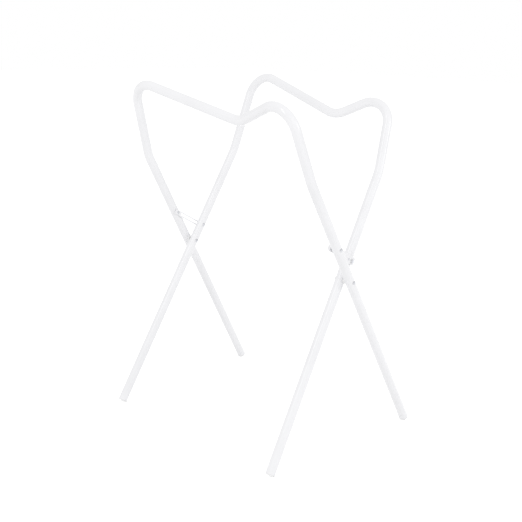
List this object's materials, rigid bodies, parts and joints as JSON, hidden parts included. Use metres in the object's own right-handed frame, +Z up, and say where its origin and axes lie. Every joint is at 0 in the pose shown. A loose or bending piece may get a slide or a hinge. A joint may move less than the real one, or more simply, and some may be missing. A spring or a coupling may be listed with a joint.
{
  "type": "baby bath stand",
  "caption": "Folding stand for a baby bath: bent-tube hoops crossed in an X at each side, with rails that dip to cradle the tub, a slotted stay and a lock plate.",
  "frame": {"origin": "on the floor, in the middle of the four feet with the stand open", "axes": "+X along the rails towards the lock plate's side, +Y from the front rail towards the back rail, +Z up"},
  "size_m": [0.6708, 0.5264, 0.917],
  "materials": {
    "white_coat": "semi-gloss white powder coat on steel tube and pressed steel strip",
    "white_plastic": "moulded white plastic, matt",
    "bright_zinc": "zinc-plated steel pins, washers and nut"
  },
  "bodies": {
    "outer_frame": {"outer_hoop": "white_coat", "foot_cap_back_left": "white_plastic", "foot_cap_back_right": "white_plastic", "pivot_pin_left": "bright_zinc", "pivot_pin_right": "bright_zinc", "pivot_bush_left": "white_plastic", "pivot_bush_right": "white_plastic", "stay_rivet": "bright_zinc", "stay_washer": "bright_zinc", "lock_pin": "bright_zinc", "lock_pin_washer": "bright_zinc"},
    "inner_frame": {"inner_hoop": "white_coat", "foot_cap_front_left": "white_plastic", "foot_cap_front_right": "white_plastic", "slot_pin": "bright_zinc", "lock_bolt": "bright_zinc", "lock_nut": "bright_zinc", "lock_nut_washer": "white_plastic", "lock_plate_washer": "bright_zinc"},
    "stay": {"slotted_stay": "white_coat"},
    "lock": {"lock_plate": "white_coat", "plate_stud": "bright_zinc"}
  },
  "joints": [
    {"name": "fold", "type": "hinge", "parent": "outer_frame", "child": "inner_frame", "pos_m": [0, 0, 0.441], "axis": [1, 0, 0], "range_deg": [0, 46]},
    {"name": "stay_turn", "type": "hinge", "parent": "outer_frame", "child": "stay", "pos_m": [-0.28793, -0.04913, 0.52573], "axis": [1, 0, 0], "range_deg": [-14, 0]},
    {"name": "plate_turn", "type": "hinge", "parent": "inner_frame", "child": "lock", "pos_m": [0.28756, 0.02557, 0.4851], "axis": [1, 0, 0], "range_deg": [-58, 0]}
  ],
  "couplings": [
    {"joint": "stay_turn", "follows": "fold", "ratio": -0.3},
    {"joint": "plate_turn", "follows": "fold", "ratio": -1.26}
  ]
}
